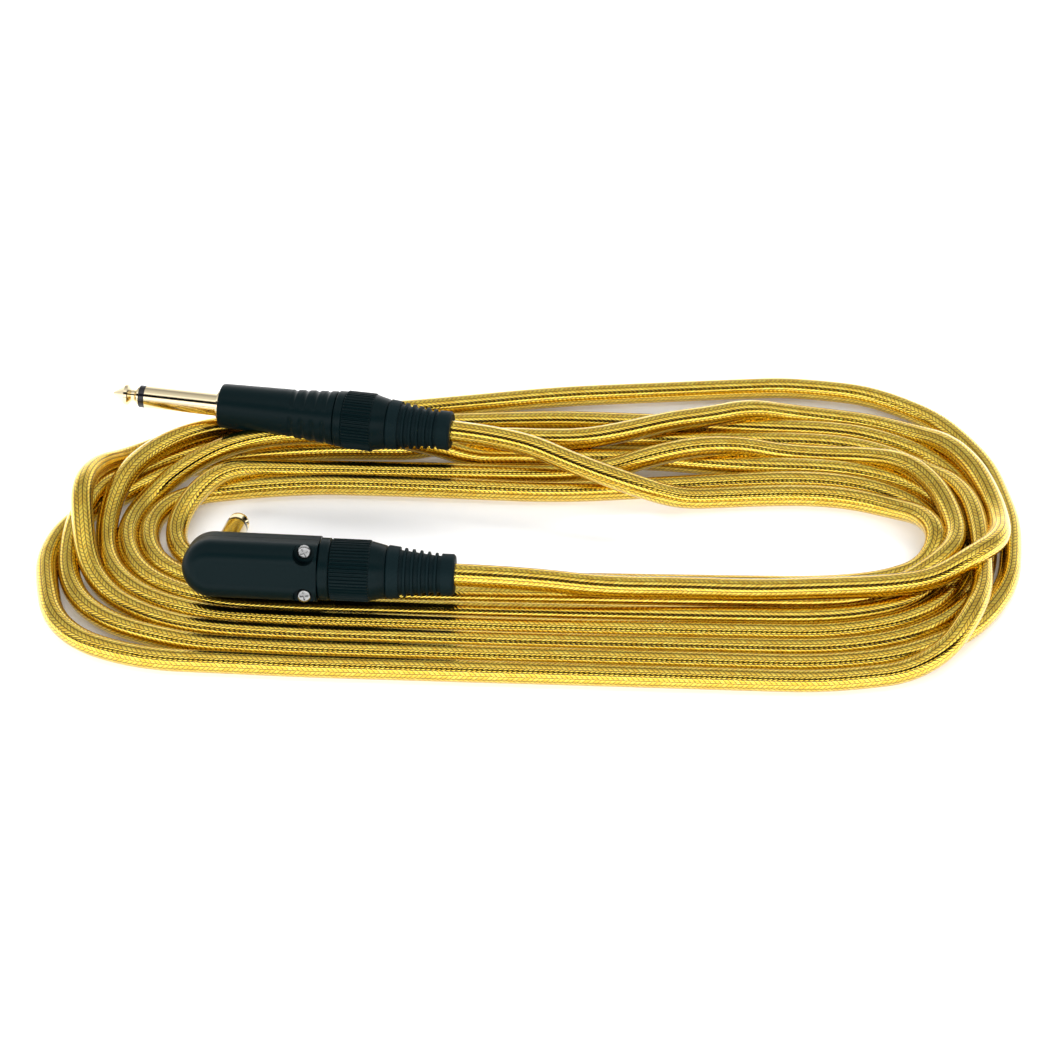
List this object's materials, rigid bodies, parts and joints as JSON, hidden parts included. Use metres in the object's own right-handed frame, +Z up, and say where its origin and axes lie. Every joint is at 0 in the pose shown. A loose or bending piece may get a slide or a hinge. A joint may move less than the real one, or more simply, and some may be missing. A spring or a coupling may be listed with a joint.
{
  "type": "instrument cable",
  "caption": "Screened instrument cable with a gold foil braid, lying in a loose oblong coil, with a straight and a right-angle quarter-inch plug.",
  "frame": {"origin": "on the surface that the coil lies on, at the middle of the whole cable's box", "axes": "+Z up, +X along the coil's length towards the end away from the plugs' tips, +Y from the right-angle plug's side to the straight plug's side"},
  "size_m": [0.2683, 0.1337, 0.0252],
  "materials": {
    "gold_plate": "polished gold plate",
    "black_insulator": "gloss moulding",
    "tinned_brass": "tinned",
    "solder": "bright solder",
    "clear_polyethylene": "natural",
    "copper": "bare stranded copper",
    "bright_screws": "bright zinc plate",
    "black_plastic": "satin moulding",
    "black_rubber": "matt",
    "grey_nylon": "natural moulding",
    "gold_braid_jacket": "gold foil braid under a clear gloss jacket"
  },
  "bodies": {
    "root": {"angle_cable_end": "gold_braid_jacket", "angle_chuck": "grey_nylon", "angle_collar": "black_plastic", "angle_core_conductor": "copper", "angle_core_insulation": "clear_polyethylene", "angle_cover": "black_plastic", "angle_cover_screws": "bright_screws", "angle_ground_terminal": "tinned_brass", "angle_housing": "black_plastic", "angle_rear_insulator": "black_insulator", "angle_screen_pigtail": "copper", "angle_sleeve_contact": "gold_plate", "angle_solder_joints": "solder", "angle_tail_cable": "gold_braid_jacket", "angle_tip_contact": "gold_plate", "angle_tip_insulator": "black_insulator", "angle_tip_terminal": "tinned_brass", "cable_coil": "gold_braid_jacket", "straight_cable_end": "gold_braid_jacket", "straight_chuck": "grey_nylon", "straight_core_conductor": "copper", "straight_core_insulation": "clear_polyethylene", "straight_ground_terminal": "tinned_brass", "straight_rear_insulator": "black_insulator", "straight_screen_pigtail": "copper", "straight_shell": "black_plastic", "straight_sleeve_contact": "gold_plate", "straight_solder_joints": "solder", "straight_tail_cable": "gold_braid_jacket", "straight_tip_contact": "gold_plate", "straight_tip_insulator": "black_insulator", "straight_tip_terminal": "tinned_brass"},
    "straight_boot_body": {"straight_boot": "black_rubber"},
    "straight_nut_body": {"straight_nut": "black_plastic"},
    "angle_boot_body": {"angle_boot": "black_rubber"},
    "angle_nut_body": {"angle_nut": "black_plastic"}
  },
  "joints": [
    {"name": "straight_boot_slide", "type": "slide", "parent": "root", "child": "straight_boot_body", "axis": [0.9839, -0.1788, 0], "range_m": [0, 0.006]},
    {"name": "straight_nut_turn", "type": "hinge", "parent": "straight_boot_body", "child": "straight_nut_body", "pos_m": [-0.04685, 0.0298, 0.0147], "axis": [0.9839, -0.1788, 0], "range_deg": [0, 1440]},
    {"name": "angle_boot_slide", "type": "slide", "parent": "root", "child": "angle_boot_body", "axis": [0.9976, -0.0698, 0], "range_m": [0, 0.006]},
    {"name": "angle_nut_turn", "type": "hinge", "parent": "angle_boot_body", "child": "angle_nut_body", "pos_m": [-0.04481, -0.03518, 0.016], "axis": [0.9976, -0.0698, 0], "range_deg": [0, 1440]}
  ],
  "couplings": [
    {"joint": "straight_nut_turn", "follows": "straight_boot_slide", "rad_per_m": 4188.8},
    {"joint": "angle_nut_turn", "follows": "angle_boot_slide", "rad_per_m": 4188.8}
  ]
}
